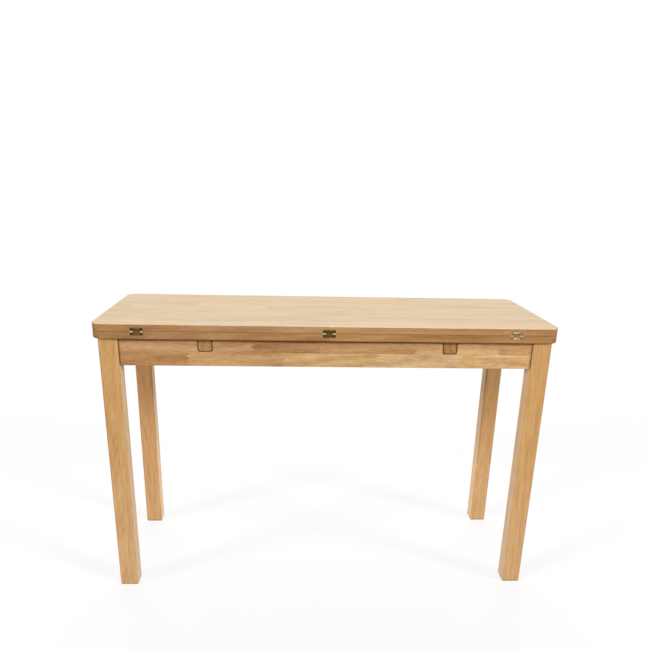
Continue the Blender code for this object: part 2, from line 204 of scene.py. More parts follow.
def oakMaterial(name, look, grain):
    mat, tree, shader = startMaterial(name)
    coord = addNode(tree, "ShaderNodeTexCoord")
    shift = addNode(tree, "ShaderNodeAttribute", attribute_name="staveShift")
    tint = addNode(tree, "ShaderNodeAttribute", attribute_name="staveTint")
    wearAndPaintedLightNode = addNode(tree, "ShaderNodeAttribute", attribute_name="edgeWearAndPaintedLight")
    lay = addNode(tree, "ShaderNodeMapping")
    feed(tree, lay, "Vector", coord.outputs["Object"])
    feed(tree, lay, "Rotation", grainTurns[grain])
    spot = calcVector(tree, "ADD", lay.outputs[0], shift.outputs["Vector"])
    sway = stretchedNoise(tree, spot, *oakSet["sway"], colour=True)
    sway = calcVector(tree, "MULTIPLY", calcVector(tree, "SUBTRACT", sway, (0.5, 0.5, 0.5)),
                      (0, look["bend"], look["bend"]))
    spot = calcVector(tree, "ADD", spot, sway)

    ring = growthRings(tree, spot, "SAW", look["ringScale"], oakSet["ringWander"])
    ring = ramp(tree, ring, [(at, (level,) * 3) for at, level in oakSet["ringStops"]])
    band = growthRings(tree, spot, "SIN", look["bandScale"], oakSet["bandWander"])
    streakStretch = (look["streakRun"], look["streakWide"], look["streakWide"])
    streak = stretchedNoise(tree, spot, streakStretch, *oakSet["streakDetail"])
    broad = stretchedNoise(tree, spot, *oakSet["broad"])
    fleckStretch = (look["fleckRun"], oakSet["fleckWide"], oakSet["fleckWide"])
    fleck = stretchedNoise(tree, spot, fleckStretch, *oakSet["fleckDetail"])
    fibre = stretchedNoise(tree, spot, *oakSet["fibre"])
    pores = remap(tree, stretchedNoise(tree, spot, *oakSet["pores"]), *oakSet["poreRange"])
    pores = calc(tree, "MULTIPLY", pores, remap(tree, ring, *oakSet["poreByRing"]))

    tone = calc(tree, "MULTIPLY", calc(tree, "SUBTRACT", ring, oakSet["ringMiddle"]), look["ring"])
    tone = calc(tree, "MULTIPLY", tone, remap(tree, broad, *oakSet["ringByBroad"]))
    layers = {"band": band, "streak": streak, "broad": broad, "fleck": fleck, "fibre": fibre}
    for share, source in layers.items():
        part = calc(tree, "MULTIPLY", calc(tree, "SUBTRACT", source, 0.5), look[share])
        tone = calc(tree, "ADD", tone, part)
    tone = calc(tree, "ADD", tone, 0.5, True)
    colour = toneRamp(tree, tone, look["pale"], look["mid"], look["deep"])
    if "flatMid" in look:  # the flat faces are paler and greyer than the edges: partly the wood's own tone, partly painted sheen
        level = addNode(tree, "ShaderNodeSeparateXYZ")
        feed(tree, level, 0, coord.outputs["Normal"])
        flatFace = remap(tree, calc(tree, "ABSOLUTE", level.outputs[2]), *oakSet["flatRange"])
        flatFace = calc(tree, "MAXIMUM", flatFace, wearAndPaintedLightNode.outputs["Fac"], True)
        broadside = toneRamp(tree, tone, look["flatPale"], look["flatMid"], look["flatDeep"])
        colour = blendColour(tree, "MIX", flatFace, colour, broadside)
    colour = blendColour(tree, "MULTIPLY", 1.0, colour, tint.outputs["Color"])
    if "foot" in look:  # painted light: paler towards the floor, as lit by the white floor
        place = addNode(tree, "ShaderNodeSeparateXYZ")
        feed(tree, place, 0, coord.outputs["Object"])
        nearFloor = remap(tree, place.outputs[2], look["footTop"], 0.0)
        colour = blendColour(tree, "MULTIPLY", nearFloor, colour, look["foot"])
    poreShare = calc(tree, "MULTIPLY", pores, look["pore"])
    colour = blendColour(tree, "MULTIPLY", poreShare, colour, oakSet["poreShade"])

    facing = addNode(tree, "ShaderNodeMapping", vector_type="VECTOR")
    feed(tree, facing, "Vector", coord.outputs["Normal"])
    feed(tree, facing, "Rotation", grainTurns[grain])
    sides = addNode(tree, "ShaderNodeSeparateXYZ")
    feed(tree, sides, 0, facing.outputs[0])
    endGrain = remap(tree, calc(tree, "ABSOLUTE", sides.outputs[0]), *oakSet["endRange"])
    colour = blendColour(tree, "MULTIPLY", endGrain, colour, look["end"])
    rub = remap(tree, noise(tree, coord.outputs["Object"], *oakSet["rubNoise"]), *oakSet["rubRange"])
    rub = calc(tree, "MULTIPLY", rub, wearAndPaintedLightNode.outputs["Fac"])
    colour = blendColour(tree, "MULTIPLY", rub, colour, look["rub"])
    paintedShadeShare = calc(tree, "MULTIPLY", wearAndPaintedLightNode.outputs["Fac"], -1.0, True)
    colour = blendColour(tree, "MULTIPLY", paintedShadeShare, colour, oakSet["paintedShade"])  # painted shade in seams, recesses and under edges and on the legs' outer rounding, with dirt at the feet
    feed(tree, shader, "Base Color", colour)

    gloss = calc(tree, "MULTIPLY", calc(tree, "SUBTRACT", streak, 0.5), oakSet["streakGloss"])
    gloss = calc(tree, "ADD", gloss, calc(tree, "MULTIPLY", pores, oakSet["poreGloss"]))
    gloss = calc(tree, "ADD", gloss, calc(tree, "MULTIPLY", endGrain, oakSet["endGloss"]))
    feed(tree, shader, "Roughness", calc(tree, "ADD", gloss, look["rough"]))
    feed(tree, shader, "IOR", oakSet["ior"])
    feed(tree, shader, "Specular IOR Level", look["sheen"])
    height = calc(tree, "SUBTRACT", calc(tree, "MULTIPLY", fibre, oakSet["fibreHeight"]), pores)
    height = calc(tree, "ADD", height, calc(tree, "MULTIPLY", ring, oakSet["ringHeight"]))
    bumpFrom(tree, shader, height, *oakSet["bump"])
    return mat


oak = {"leaf": oakMaterial("leafOakX", leafOak, "x")}
for grain in "xy":
    oak[grain] = oakMaterial("frameOak" + grain.upper(), frameOak, grain)
oak["z"] = oakMaterial("legOakZ", legOak, "z")


# aged brass that is rubbed bright where it stands out, with painted light in how bright each hinge is, and
# plain zinc-coated steel
brassSet = {"bright": (0.78, 0.62, 0.34), "aged": (0.162, 0.102, 0.030), "soot": (0.058, 0.030, 0.004),
            "rough": 0.36}
steelSet = {"bright": (0.60, 0.60, 0.58), "aged": (0.38, 0.38, 0.37), "soot": (0.20, 0.19, 0.18),
            "rough": 0.34}
patinaSet = {"spread": (420.0, 4.0, 0.6), "specks": (2400.0, 3.0, 0.65), "speckShare": 0.4,
             "range": (0.52, 1.05, 0.0, 0.7), "shineShare": 0.3, "shineRange": (0.30, 1.05),
             "dull": 0.16, "polish": 0.1, "bump": (0.12, 0.00006)}


def metalMaterial(name, look):
    mat, tree, shader = startMaterial(name)
    coord = addNode(tree, "ShaderNodeTexCoord")
    wearAndPaintedLightNode = addNode(tree, "ShaderNodeAttribute", attribute_name="edgeWearAndPaintedLight")
    spread = noise(tree, coord.outputs["Object"], *patinaSet["spread"])
    specks = noise(tree, coord.outputs["Object"], *patinaSet["specks"])
    patina = calc(tree, "ADD", spread, calc(tree, "MULTIPLY", specks, patinaSet["speckShare"]))
    patina = remap(tree, patina, *patinaSet["range"])
    # painted shade on the darker hinge parts, and patina in the hollows, darken towards soot
    darkPatinaAndShade = calc(tree, "MULTIPLY", wearAndPaintedLightNode.outputs["Fac"], -1.0, True)
    patina = calc(tree, "MAXIMUM", patina, darkPatinaAndShade)
    colour = blendColour(tree, "MIX", patina, look["aged"], look["soot"])
    shine = calc(tree, "ADD", wearAndPaintedLightNode.outputs["Fac"], calc(tree, "MULTIPLY", spread, patinaSet["shineShare"]))
    shine = remap(tree, shine, *patinaSet["shineRange"])
    colour = blendColour(tree, "MIX", shine, colour, look["bright"])
    feed(tree, shader, "Base Color", colour)
    feed(tree, shader, "Metallic", 1.0)
    gloss = calc(tree, "ADD", calc(tree, "MULTIPLY", patina, patinaSet["dull"]), look["rough"])
    gloss = calc(tree, "SUBTRACT", gloss, calc(tree, "MULTIPLY", shine, patinaSet["polish"]))
    feed(tree, shader, "Roughness", gloss)
    bumpFrom(tree, shader, specks, *patinaSet["bump"])
    return mat


brass = metalMaterial("agedBrass", brassSet)
steel = metalMaterial("zincSteel", steelSet)
print("materials made")


# mesh helpers, with distances in metres and angles in degrees; edgeWearAndPaintedLight runs from 1, rubbed,
# to -1, dark: painted shade, and patina in the brass's hollows
meshSet = {"snap": 1e-7, "weld": 1e-6, "straight": 0.99, "sharp": 50, "shadeBreak": 38}


def startMesh():
    bm = bmesh.new()
    for layer in ("staveShift", "staveTint"):
        bm.faces.layers.float_vector.new(layer)
    bm.faces.layers.float.new("edgeWearAndPaintedLight")
    return bm


def addBox(bm, low, high):
    made = bmesh.ops.create_cube(bm, size=1.0)["verts"]
    bmesh.ops.scale(bm, vec=Vector(high) - Vector(low), verts=made)
    bmesh.ops.translate(bm, vec=(Vector(low) + Vector(high)) / 2, verts=made)
    return bm


def along(edge, axis):
    run = edge.verts[1].co - edge.verts[0].co
    return abs(run[axis]) > meshSet["straight"] * run.length


def sharpEdges(bm, limit=meshSet["sharp"]):
    return [e for e in bm.edges if len(e.link_faces) == 2 and e.calc_face_angle() > math.radians(limit)]


def easeEdges(bm, edges, width, steps, wearAndPaintedLight=0.0):
    made = bmesh.ops.bevel(bm, geom=edges, offset=width, offset_type="OFFSET", segments=steps,
                           profile=0.5, affect="EDGES", clamp_overlap=True, material=-1)
    layer = bm.faces.layers.float["edgeWearAndPaintedLight"]
    for face in made["faces"]:
        face[layer] = wearAndPaintedLight


def asObject(name, bm):
    mesh = bpy.data.meshes.new(name)
    bm.to_mesh(mesh)
    bm.free()
    piece = bpy.data.objects.new(name, mesh)
    scene.collection.objects.link(piece)
    return piece


def carve(bm, tool):
    blank, knife = asObject("blank", bm), asObject("knife", tool)
    cut = blank.modifiers.new("cut", "BOOLEAN")
    cut.operation, cut.solver, cut.object = "DIFFERENCE", "EXACT", knife
    bpy.context.view_layer.update()
    graph = bpy.context.evaluated_depsgraph_get()
    shaped = bpy.data.meshes.new_from_object(blank.evaluated_get(graph))
    result = bmesh.new()
    result.from_mesh(shaped)
    for used in (blank, knife):
        mesh = used.data
        bpy.data.objects.remove(used)
        bpy.data.meshes.remove(mesh)
    bpy.data.meshes.remove(shaped)
    return result


def turned(profile, steps, matrix):
    bm = startMesh()
    ring = [bm.verts.new((r, 0, h)) for r, h in profile]
    line = [bm.edges.new(pair) for pair in zip(ring, ring[1:])]
    bmesh.ops.spin(bm, geom=ring + line, cent=(0, 0, 0), axis=(0, 0, 1), angle=2 * math.pi, steps=steps,
                   use_merge=True)
    bmesh.ops.remove_doubles(bm, verts=bm.verts, dist=meshSet["snap"])
    bmesh.ops.recalc_face_normals(bm, faces=bm.faces)
    bmesh.ops.transform(bm, matrix=matrix, verts=bm.verts)
    return bm


def drillBit(radius, start, stop, steps, matrix):
    return turned([(0, start), (radius, start), (radius, stop), (0, stop)], steps, matrix)


def joinMesh(bm, other):
    mesh = bpy.data.meshes.new("joined")
    other.to_mesh(mesh)
    other.free()
    bm.from_mesh(mesh)
    bpy.data.meshes.remove(mesh)


def splitBy(bm, faces, spot, normal, snap=meshSet["snap"]):
    edges = {e for f in faces for e in f.edges}
    verts = {v for f in faces for v in f.verts}
    bmesh.ops.bisect_plane(bm, geom=[*verts, *edges, *faces], dist=snap, plane_co=spot, plane_no=normal)


def splitAt(bm, faces, axis, at):
    spot, normal = [0, 0, 0], [0, 0, 0]
    spot[axis], normal[axis] = at, 1
    splitBy(bm, faces, spot, normal)


def cutFingers(bm, pick, run, across, at, low, high, fingers):
    long, pitch = fingers
    for side in (-1, 1):
        splitAt(bm, pick(), run, at + side * long / 2)
    count = max(2, round((high - low) / pitch))
    step = (high - low) / count

    def strip():
        return [f for f in pick() if abs(f.calc_center_median()[run] - at) < long / 2]

    for k in range(1, count):
        splitAt(bm, strip(), across, low + k * step)
    for k in range(count):
        middle = low + (k + 0.5) * step
        cell = [f for f in strip() if abs(f.calc_center_median()[across] - middle) < step / 2]
        spot, slope = Vector(), Vector()
        spot[run], spot[across] = at, middle
        slope[run], slope[across] = step * (-1) ** k, long
        splitBy(bm, cell, spot, slope, meshSet["weld"])


# each stave has its own pith, place along the grain and tint
staveSet = {"pithAway": (0.035, 0.13), "slide": 0.6, "spread": 0.05, "warm": 0.4, "tintShare": 0.85,
            "broadside": 0.9}


def layStaves(bm, grain, seed, rowAxis="z", rows=(), ends=(), tints=None, spread=staveSet["spread"],
              pith=None, fingers=None):
    rng = random.Random(seed)
    run, across = "xyz".index(grain), "xyz".index(rowAxis)
    thick = 3 - run - across
    reach = [v.co[across] for v in bm.verts]
    bounds = [min(reach), *rows, max(reach)]
    for at in rows:
        splitAt(bm, bm.faces[:], across, at)
    ends = list(ends) + [()] * (len(rows) + 1 - len(ends))
    for row, cuts in enumerate(ends):

        def inRow(broad):
            found = [f for f in bm.faces if sum(f.calc_center_median()[across] > r for r in rows) == row]
            return [f for f in found if (abs(f.normal[thick]) > staveSet["broadside"]) == broad]

        for at in cuts:
            splitAt(bm, inRow(False), run, at)
            if fingers:
                cutFingers(bm, lambda: inRow(True), run, across, at, bounds[row], bounds[row + 1], fingers)
            else:
                splitAt(bm, inRow(True), run, at)
    turn = Euler(grainTurns[grain]).to_matrix()
    staves = {}
    shiftLayer = bm.faces.layers.float_vector["staveShift"]
    tintLayer = bm.faces.layers.float_vector["staveTint"]
    for face in bm.faces:
        mid = face.calc_center_median()
        row = sum(mid[across] > r for r in rows)
        part = sum(mid[run] > e for e in ends[row])
        staves.setdefault((row, part), []).append(face)
    for key in sorted(staves):
        faces = staves[key]
        mid = sum((f.calc_center_median() for f in faces), Vector()) / len(faces)
        away, angle = rng.uniform(*staveSet["pithAway"]), rng.uniform(0, 2 * math.pi)
        if pith:
            away, angle = pith.get(key, (away, angle))
        slide = rng.uniform(-staveSet["slide"], staveSet["slide"])
        heart = turn @ mid + Vector((slide, away * math.cos(angle), away * math.sin(angle)))
        level = 1 + rng.uniform(-spread, spread)
        warm = rng.uniform(-staveSet["warm"], staveSet["warm"]) * spread
        tint = Vector((level * (1 + warm), level, level * (1 - warm)))
        if tints and key[0] < len(tints):
            tint = tint.lerp(Vector(tints[key[0]][key[1]]), staveSet["tintShare"])
        for face in faces:
            face[shiftLayer] = -heart
            face[tintLayer] = tint


def addPiece(name, bm, material, body, nodes=()):
    shadeBreak = math.radians(meshSet["shadeBreak"])
    for face in bm.faces:
        face.smooth = True
    for edge in bm.edges:
        edge.smooth = len(edge.link_faces) != 2 or edge.calc_face_angle() < shadeBreak
    piece = asObject(name, bm)
    piece.data.materials.clear()
    piece.data.materials.append(material)
    even = piece.modifiers.new("evenShade", "WEIGHTED_NORMAL")
    even.keep_sharp = True
    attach(piece, body)
    if nodes:
        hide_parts(*nodes)


# the two leaves: staves along the table, rounded corners, hinge mortises in the front edge
leafSet = {
    "corner": 0.030, "cornerSteps": 18, "ease": 0.0015, "topEase": 0.0020, "easeSteps": 5, "rim": 0.001,
    "mortiseGap": 0.0003, "cutPast": 0.02, "seam": 0.00010, "underLeafEdgeShade": 0.8, "seamShade": 0.27,
    "staveWidth": 0.052, "widthShare": (0.82, 1.18), "lastShare": 0.6, "backStave": 0.02,
    "firstEnd": (-0.56, -0.10), "nextEnd": (0.36, 0.60), "staveSpread": 0.020,
    "upright": 0.5, "bandJoint": 0.0, "frontTint": (1.06, 1.05, 1.055),
    "bandTints": {"lower": [(0.89, 0.89, 0.885), (1.03, 1.0, 0.925)],
                  "upper": [(0.955, 0.965, 1.01), (1.09, 1.10, 1.10)]},
}
hingeNames = ("left", "middle", "right")


def makeLeaf(name, node, level, body, seed):
    low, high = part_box(node)
    if level == "lower":
        high.z -= leafSet["seam"]
    else:
        low.z += leafSet["seam"]
    bm = addBox(startMesh(), low, high)
    easeEdges(bm, [e for e in bm.edges if along(e, 2)], leafSet["corner"], leafSet["cornerSteps"])
    rim = high.z - leafSet["rim"]
    topRim = [e for e in sharpEdges(bm) if level == "upper" and e.verts[0].co.z > rim]
    easeEdges(bm, topRim, leafSet["topEase"], leafSet["easeSteps"], 1.0)
    easeEdges(bm, sharpEdges(bm), leafSet["ease"], leafSet["easeSteps"], 1.0)
    wearAndPaintedLight = bm.faces.layers.float["edgeWearAndPaintedLight"]
    # painted shade on the lower leaf's edges, at the seam and under the leaf
    for face in bm.faces:
        inUpperHalf = face.calc_center_median().z > (low.z + high.z) / 2
        if level == "lower":
            face[wearAndPaintedLight] *= -leafSet["seamShade" if inUpperHalf else "underLeafEdgeShade"]
        elif not inUpperHalf:  # painted shade on the upper leaf's edges at the seam; only the top's own edge is rubbed
            face[wearAndPaintedLight] *= -leafSet["seamShade"]
    tool = bmesh.new()
    gap, past = leafSet["mortiseGap"], leafSet["cutPast"]
    for hinge in hingeNames:
        cupLow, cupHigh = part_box(f"hinge_{hinge}_{level}_cup")
        below, above = (gap, past) if level == "lower" else (past, gap)
        addBox(tool, (cupLow.x - gap, cupLow.y - past, cupLow.z - below),
               (cupHigh.x + gap, cupHigh.y + gap, cupHigh.z + above))
    bm = carve(bm, tool)
    rng = random.Random(seed)
    rows, ends, at = [], [], low.y
    while at < high.y - leafSet["staveWidth"] * leafSet["lastShare"]:
        at += leafSet["staveWidth"] * rng.uniform(*leafSet["widthShare"])
        rows.append(at)
        first = rng.uniform(*leafSet["firstEnd"])
        ends.append([] if not ends else [first, first + rng.uniform(*leafSet["nextEnd"])])
    rows = [r for r in rows if r < high.y - leafSet["backStave"]]
    layStaves(bm, "x", seed, "y", rows, ends[:len(rows) + 1], [[leafSet["frontTint"]]],
              leafSet["staveSpread"])

    def bandFaces():
        return [f for f in bm.faces if abs(f.normal.z) < leafSet["upright"]]

    joint = leafSet["bandJoint"]
    splitAt(bm, bandFaces(), 0, joint)
    tint = bm.faces.layers.float_vector["staveTint"]
    for face in bandFaces():  # the narrow band round the leaf
        face[tint] = leafSet["bandTints"][level][face.calc_center_median().x > joint]
    addPiece(name, bm, oak["leaf"], body, [node])


makeLeaf("lowerLeaf", "lower_leaf", "lower", "frame", 11)
makeLeaf("upperLeaf", "upper_leaf", "upper", "upper_leaf", 23)
print("leaves made")

# legs: two laminations each, soft edges everywhere but at the top end
legSet = {
    "ease": 0.0050, "easeSteps": 6, "glueLine": 0.004, "spread": 0.04, "firstSeed": 40,
    "dirt": -0.9, "dirtShare": 0.9, "sole": -0.99, "outerEdgeShade": -0.4, "outerEdgeSlope": (0.3, 0.98),
    "tints": {"front_left": [(0.985, 0.985, 0.985)], "front_right": [(1.02, 0.99, 0.96)],
              "back_left": [(1.03, 0.96, 0.955)], "back_right": [(1.06, 1.05, 1.07), (1.02, 1.0, 1.0)]},
    "joints": {"back_right": 0.21},
    "inside": {"front_left": (1.08, 1.22, 1.60), "front_right": (1.10, 1.22, 1.55),
               "back_left": (1.30, 1.50, 1.95), "back_right": (1.20, 1.32, 1.60)},
    "inward": -0.9, "insideLift": {"front": 0.0, "back": 0.45}, "liftFrom": 0.30, "liftBands": 14,
    "pith": {"front_left": (0.075, 3.6), "front_right": (0.095, 2.0)},
}
corners = {"front_left": (-1, -1), "front_right": (1, -1), "back_left": (-1, 1), "back_right": (1, 1)}


def pieceName(*words):
    words = "_".join(words).split("_")
    return words[0] + "".join(w.capitalize() for w in words[1:])


for seed, corner in enumerate(corners):
    low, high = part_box("leg_" + corner)
    bm = addBox(startMesh(), low, high)
    lower = [e for e in bm.edges if min(v.co.z for v in e.verts) < low.z + legSet["ease"]]
    easeEdges(bm, lower, legSet["ease"], legSet["easeSteps"], 1.0)
    sideX = corners[corner][0]
    wearAndPaintedLight = bm.faces.layers.float["edgeWearAndPaintedLight"]
    footShadeTop = low.z + legSet["ease"] * legSet["dirtShare"]
    slopeFrom, slopeTo = legSet["outerEdgeSlope"]
    for face in bm.faces:
        if face.calc_center_median().z < footShadeTop and face.normal.z > legSet["sole"]:
            face[wearAndPaintedLight] = legSet["dirt"]  # painted shade on the foot's bottom edge, with dirt from the floor
        elif face[wearAndPaintedLight] and slopeFrom < face.normal.x * sideX < slopeTo:
            # painted shade on the outer rounding, which turns away from the light
            face[wearAndPaintedLight] = legSet["outerEdgeShade"]
    glue = (low.x + high.x) / 2 + legSet["glueLine"] * (-1) ** seed
    near = {(k, 0): legSet["pith"][corner] for k in (0, 1)} if corner in legSet["pith"] else None
    joint = [legSet["joints"][corner]] if corner in legSet["joints"] else []
    layStaves(bm, "z", legSet["firstSeed"] + seed, "x", [glue], [joint] * 2, [legSet["tints"][corner]] * 2,
              legSet["spread"], near)

    def insideFaces():
        return [f for f in bm.faces if f.normal.x * sideX < legSet["inward"]]

    liftFrom, liftTop = legSet["liftFrom"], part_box("apron_front")[0].z
    step = (liftTop - liftFrom) / legSet["liftBands"]
    for k in range(legSet["liftBands"] + 1):
        splitAt(bm, insideFaces(), 2, liftFrom + k * step)
    tint = bm.faces.layers.float_vector["staveTint"]
    for face in insideFaces():  # painted light and sheen: the paler side towards the knees, palest under the apron
        height = (face.calc_center_median().z - liftFrom) / (liftTop - liftFrom)
        if height > 1:
            face[wearAndPaintedLight] = -1.0  # painted shade beside the apron
            continue
        lift = 1 + legSet["insideLift"][corner.split("_")[0]] * max(0.0, height)
        face[tint] = [a * b * lift for a, b in zip(face[tint], legSet["inside"][corner])]
    addPiece(pieceName("leg", corner), bm, oak["z"], "frame", ["leg_" + corner])
print("legs made")

# aprons and guide rail: two rows of finger-jointed staves, notched for the pull-out bars
apronSet = {
    "ease": 0.0008, "easeSteps": 3, "endEase": 0.0012, "spread": 0.06, "fingers": (0.010, 0.0050),
    "notchRound": 0.0058, "notchSteps": 8, "notchSide": 0.0020, "notchUnder": 0.0014, "cutPast": 0.01,
    "facing": 0.98, "frontSeam": 0.691, "seam": 0.690, "dust": [(0.0062, -0.45), (0.0048, -0.85)],
    "frontEnds": [[-0.362, -0.117, 0.128, 0.345], [-0.30, -0.197, -0.024, 0.228, 0.32, 0.449]],
    "frontTints": [[(0.74, 0.645, 0.555), (0.85, 0.82, 0.78), (0.96, 1.02, 0.99), (1.04, 1.15, 1.29),
                    (1.21, 1.31, 1.38)],
                   [(0.88, 0.875, 0.93), (0.79, 0.75, 0.755), (0.65, 0.585, 0.515), (0.77, 0.715, 0.65),
                    (0.89, 0.865, 0.825), (1.025, 1.065, 1.10), (0.88, 0.83, 0.78)]],
    "railEnds": [[-0.22, 0.19], [-0.05, 0.41]], "backEnds": [[-0.31, 0.10], [-0.12, 0.35]],
    "leftEnds": [[0.05], [-0.06]], "rightEnds": [[-0.03], [0.09]],
}


def makeApron(node, grain, seed, seam, ends, tints=None, notched=False):
    low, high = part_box(node)
    run = "xyz".index(grain)
    bm = addBox(startMesh(), low, high)
    easeEdges(bm, [e for e in bm.edges if along(e, 2)], apronSet["endEase"], apronSet["easeSteps"])
    slots = []
    if notched:
        tool = bmesh.new()
        past = apronSet["cutPast"]
        for side in ("left", "right"):
            barLow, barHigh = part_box("loper_" + side)
            slotLow = (barLow.x - apronSet["notchSide"], low.y - past, barLow.z - apronSet["notchUnder"])
            slotHigh = (barHigh.x + apronSet["notchSide"], high.y + past, high.z + past)
            slot = addBox(bmesh.new(), slotLow, slotHigh)
            base = [e for e in slot.edges if along(e, 1) and e.verts[0].co.z < barHigh.z - past]
            bmesh.ops.bevel(slot, geom=base, offset=apronSet["notchRound"], segments=apronSet["notchSteps"],
                            profile=0.5, affect="EDGES", material=-1)
            joinMesh(tool, slot)
            slots.append((barLow, barHigh))
        bm = carve(bm, tool)
    easeEdges(bm, sharpEdges(bm), apronSet["ease"], apronSet["easeSteps"], 1.0)
    wearAndPaintedLight = bm.faces.layers.float["edgeWearAndPaintedLight"]
    for below, level in apronSet["dust"]:  # painted shadow in the corner under the leaf
        splitAt(bm, bm.faces[:], 2, high.z - below)
        for face in bm.faces:
            if face.calc_center_median().z > high.z - below:
                face[wearAndPaintedLight] = level
    edge = apronSet["endEase"]
    for face in bm.faces:
        if not low[run] + edge < face.calc_center_median()[run] < high[run] - edge:
            face[wearAndPaintedLight] = -1.0  # painted shade on the ends beside the legs
    reach = apronSet["notchSide"] + edge
    for barLow, barHigh in slots:
        base = barLow.z - apronSet["notchUnder"] - edge
        for face in bm.faces:
            mid = face.calc_center_median()
            beside = barLow.x - reach < mid.x < barHigh.x + reach
            if beside and mid.z > base and abs(face.normal.y) < apronSet["facing"]:
                face[wearAndPaintedLight] = -1.0  # painted shade on the walls of the notch
    bm.normal_update()
    layStaves(bm, grain, seed, "z", [seam], ends, tints, apronSet["spread"], fingers=apronSet["fingers"])
    addPiece(pieceName(node), bm, oak[grain], "frame", [node])


makeApron("apron_front", "x", 61, apronSet["frontSeam"], apronSet["frontEnds"], apronSet["frontTints"],
          notched=True)
makeApron("loper_guide_rail", "x", 62, apronSet["seam"], apronSet["railEnds"], notched=True)
makeApron("apron_back", "x", 63, apronSet["seam"], apronSet["backEnds"])
makeApron("apron_left", "y", 64, apronSet["seam"], apronSet["leftEnds"])
makeApron("apron_right", "y", 65, apronSet["seam"], apronSet["rightEnds"])
print("aprons made")

# pull-out bars with their stop pegs
barSet = {"round": 0.005, "roundSteps": 6, "ease": 0.0008, "easeSteps": 3, "rim": 0.001, "firstSeed": 80,
          "pegGap": 0.0003, "pegSteps": 32, "pegChamfer": 0.0010, "chamferShare": 0.3, "drillPast": 0.01,
          "firstPegSeed": 90, "tints": {"left": (0.905, 0.93, 0.97), "right": (0.81, 0.742, 0.644)}}
for seed, side in enumerate(("left", "right")):
    low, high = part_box("loper_" + side)
    pegLow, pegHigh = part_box("loper_stop_" + side)
    pegMid, pegRound = (pegLow + pegHigh) / 2, (pegHigh.x - pegLow.x) / 2
    bm = addBox(startMesh(), low, high)
    under = [e for e in bm.edges if along(e, 1) and e.verts[0].co.z < low.z + barSet["rim"]]
    easeEdges(bm, under, barSet["round"], barSet["roundSteps"])
    easeEdges(bm, sharpEdges(bm), barSet["ease"], barSet["easeSteps"], 1.0)
    upright = Matrix.Translation((pegMid.x, pegMid.y, 0))
    past = barSet["drillPast"]
    drill = drillBit(pegRound + barSet["pegGap"], low.z - past, high.z + past, barSet["pegSteps"], upright)
    bm = carve(bm, drill)
    layStaves(bm, "y", barSet["firstSeed"] + seed, tints=[[barSet["tints"][side]]])
    addPiece(pieceName("loper", side), bm, oak["y"], "loper_" + side, ["loper_" + side])
    nip = barSet["pegChamfer"]
    soft = nip * barSet["chamferShare"]
    pegShape = [(0, pegLow.z), (pegRound - nip, pegLow.z), (pegRound - soft, pegLow.z + soft),
                (pegRound, pegLow.z + nip), (pegRound, pegHigh.z - nip), (pegRound - nip, pegHigh.z),
                (0, pegHigh.z)]
    bm = turned(pegShape, barSet["pegSteps"], upright)
    layStaves(bm, "z", barSet["firstPegSeed"] + seed)
    addPiece(pieceName("loperStop", side), bm, oak["z"], "loper_" + side,
             ["loper_stop_" + side])
print("pull-out bars made")

